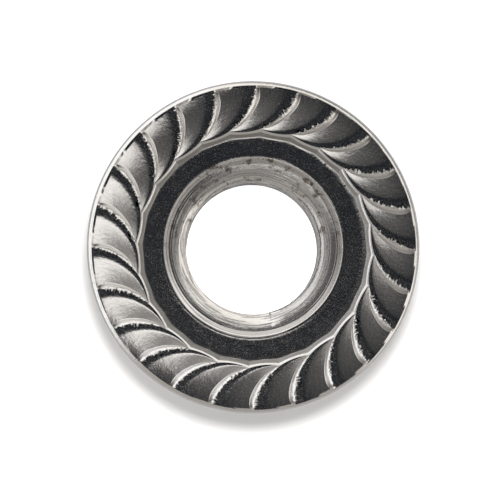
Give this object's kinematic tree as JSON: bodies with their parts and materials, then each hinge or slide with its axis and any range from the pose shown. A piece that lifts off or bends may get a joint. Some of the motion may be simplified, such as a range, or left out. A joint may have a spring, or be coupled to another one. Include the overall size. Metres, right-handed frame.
{
  "type": "serrated flange nut",
  "caption": "Hexagon nut with a wide coned flange whose bearing face carries a ring of curved ratchet serrations round a countersunk tapped hole.",
  "frame": {"origin": "centre of the flat end face of the hexagon, on the thread's axis; the nut stands on this face", "axes": "+Z along the thread's axis, from the hexagon's end face towards the serrated bearing face; +X through a corner of the hexagon, +Y through the middle of a flat"},
  "size_m": [0.0214, 0.0214, 0.01],
  "materials": {
    "stainless_steel": "bright, cold formed, with fine forming marks"
  },
  "bodies": {
    "root": {"flange_nut": "stainless_steel"}
  },
  "joints": []
}
